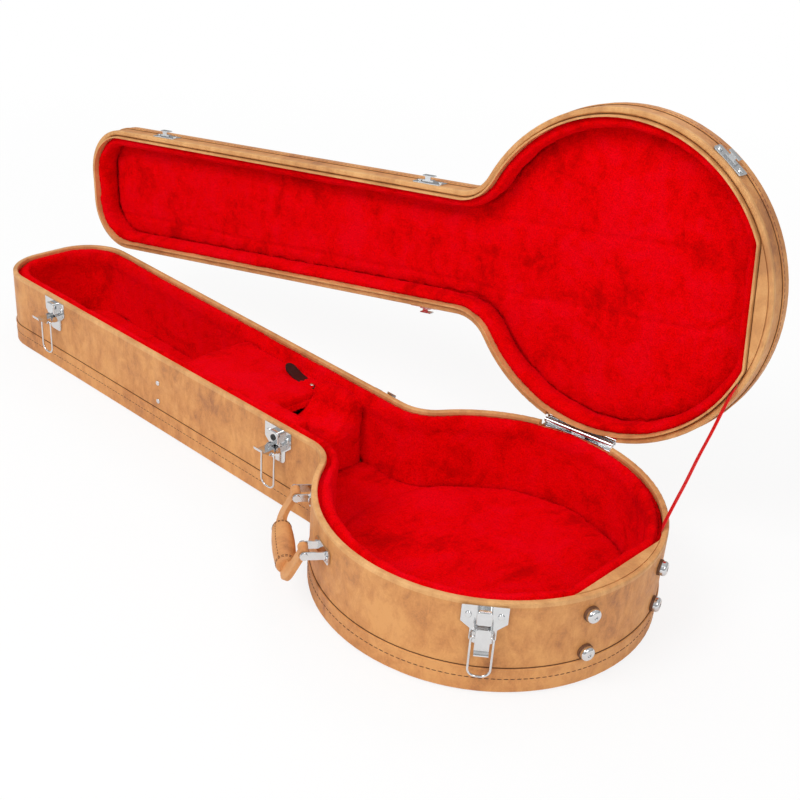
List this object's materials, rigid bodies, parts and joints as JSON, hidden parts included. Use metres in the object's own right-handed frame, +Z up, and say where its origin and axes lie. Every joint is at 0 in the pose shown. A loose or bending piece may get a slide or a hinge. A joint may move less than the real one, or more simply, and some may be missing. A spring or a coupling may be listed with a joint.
{
  "type": "banjo case",
  "caption": "Hard-shell banjo case, open: round bowl and long neck, hinged lid, plush lining, draw latches, carrying handle and lidded accessory compartment.",
  "frame": {"origin": "centre of the round bowl, on the floor plane under the base", "axes": "+Z up, +X from the neck towards the tail of the bowl, -Y the front with the carrying handle and three latches, +Y the hinge side"},
  "size_m": [1.0849, 0.4792, 0.4841],
  "materials": {
    "shell_covering": "mottled tan leatherette, pebbled and satin",
    "stitched_band": "mottled tan leatherette with a stitched edge",
    "tan_welt": "smooth tan edging",
    "plush_lining": "short bright red plush pile",
    "plated_steel": "bright nickel plate",
    "handle_leather": "stitched tan leatherette",
    "tab_leather": "dark smooth leather with a pale cut edge",
    "foot_metal": "bright nickel plate",
    "ribbon": "woven red ribbon"
  },
  "bodies": {
    "base": {"base_bottom_panel": "shell_covering", "base_side_wall": "shell_covering", "base_band": "stitched_band", "base_rim_welt": "tan_welt", "base_tail_block": "tan_welt", "base_wall_lining": "plush_lining", "neck_floor_lining": "plush_lining", "accessory_floor_lining": "plush_lining", "bowl_floor_lining": "plush_lining", "bowl_floor_pad": "plush_lining", "accessory_partition": "plush_lining", "accessory_lid_ledge": "plush_lining", "neck_cradle": "plush_lining", "accessory_hinge_cloth": "plush_lining", "partition_rivets": "plated_steel", "tail_foot_washers": "foot_metal", "tail_feet": "foot_metal", "hinge_pin": "plated_steel", "hinge_base_leaf": "plated_steel", "hinge_base_rivets": "plated_steel", "lever_pins": "plated_steel", "latch_plate_screws": "plated_steel", "lock_cylinder": "plated_steel", "latch_1_plate": "plated_steel", "latch_2_plate": "plated_steel", "latch_3_plate": "plated_steel", "latch_4_plate": "plated_steel", "handle_bracket_left": "plated_steel", "handle_bracket_right": "plated_steel", "handle_bracket_screws": "plated_steel", "handle_pins": "plated_steel", "ribbon_clip_base": "plated_steel", "lid_ribbon": "ribbon"},
    "lid": {"lid_top_panel": "shell_covering", "lid_side_wall": "shell_covering", "lid_band": "stitched_band", "lid_rim_welt": "tan_welt", "lid_lip": "tan_welt", "lid_tail_block": "tan_welt", "lid_wall_lining": "plush_lining", "lid_top_pad": "plush_lining", "hinge_lid_leaf": "plated_steel", "hinge_lid_rivets": "plated_steel", "lid_keepers": "plated_steel", "keeper_screws": "plated_steel", "ribbon_clip_lid": "plated_steel"},
    "accessory_cover": {"accessory_lid": "plush_lining", "pull_tab": "tab_leather", "pull_tab_rivet": "plated_steel"},
    "handle": {"handle_end_straps": "handle_leather", "handle_grip": "handle_leather"},
    "lever_1": {"latch_1_lever": "plated_steel"},
    "bail_1": {"latch_1_bail": "plated_steel"},
    "lever_2": {"latch_2_lever": "plated_steel"},
    "bail_2": {"latch_2_bail": "plated_steel"},
    "lever_3": {"latch_3_lever": "plated_steel"},
    "bail_3": {"latch_3_bail": "plated_steel"},
    "lever_4": {"latch_4_lever": "plated_steel"},
    "bail_4": {"latch_4_bail": "plated_steel"}
  },
  "joints": [
    {"name": "lid_hinge", "type": "hinge", "parent": "base", "child": "lid", "pos_m": [-0.02255, 0.18634, 0.1075], "axis": [0.9928, 0.1201, 0], "range_deg": [0, 94], "deforming": ["lid_ribbon"]},
    {"name": "accessory_lid_hinge", "type": "hinge", "parent": "base", "child": "accessory_cover", "pos_m": [-0.486, 0, 0.082], "axis": [0, 1, 0], "range_deg": [-100, 0]},
    {"name": "handle_swing", "type": "hinge", "parent": "base", "child": "handle", "pos_m": [-0.12167, -0.16146, 0.08], "axis": [-0.7986, 0.6018, 0], "range_deg": [0, 120]},
    {"name": "latch_1_lever_hinge", "type": "hinge", "parent": "base", "child": "lever_1", "pos_m": [-0.71785, -0.09399, 0.08], "axis": [0.9998, 0.0193, 0], "range_deg": [0, 90]},
    {"name": "latch_1_bail_hinge", "type": "hinge", "parent": "lever_1", "child": "bail_1", "pos_m": [-0.71769, -0.10199, 0.0783], "axis": [0.9998, 0.0193, 0], "range_deg": [-270, 0]},
    {"name": "latch_2_lever_hinge", "type": "hinge", "parent": "base", "child": "lever_2", "pos_m": [-0.25485, -0.08505, 0.08], "axis": [0.9998, 0.0193, 0], "range_deg": [0, 90]},
    {"name": "latch_2_bail_hinge", "type": "hinge", "parent": "lever_2", "child": "bail_2", "pos_m": [-0.25469, -0.09305, 0.0783], "axis": [0.9998, 0.0193, 0], "range_deg": [-270, 0]},
    {"name": "latch_3_lever_hinge", "type": "hinge", "parent": "base", "child": "lever_3", "pos_m": [0.12727, -0.15168, 0.08], "axis": [0.766, 0.6428, 0], "range_deg": [-90, 0]},
    {"name": "latch_3_bail_hinge", "type": "hinge", "parent": "lever_3", "child": "bail_3", "pos_m": [0.12618, -0.15038, 0.072], "axis": [-0.766, -0.6428, 0], "range_deg": [0, 180]},
    {"name": "latch_4_lever_hinge", "type": "hinge", "parent": "base", "child": "lever_4", "pos_m": [-0.25485, 0.08505, 0.08], "axis": [-0.9998, 0.0193, 0], "range_deg": [0, 90]},
    {"name": "latch_4_bail_hinge", "type": "hinge", "parent": "lever_4", "child": "bail_4", "pos_m": [-0.25469, 0.09305, 0.0783], "axis": [-0.9998, 0.0193, 0], "range_deg": [-270, 0]}
  ],
  "couplings": [
    {"joint": "latch_1_bail_hinge", "follows": "latch_1_lever_hinge", "ratio": -3},
    {"joint": "latch_2_bail_hinge", "follows": "latch_2_lever_hinge", "ratio": -3},
    {"joint": "latch_4_bail_hinge", "follows": "latch_4_lever_hinge", "ratio": -3}
  ]
}
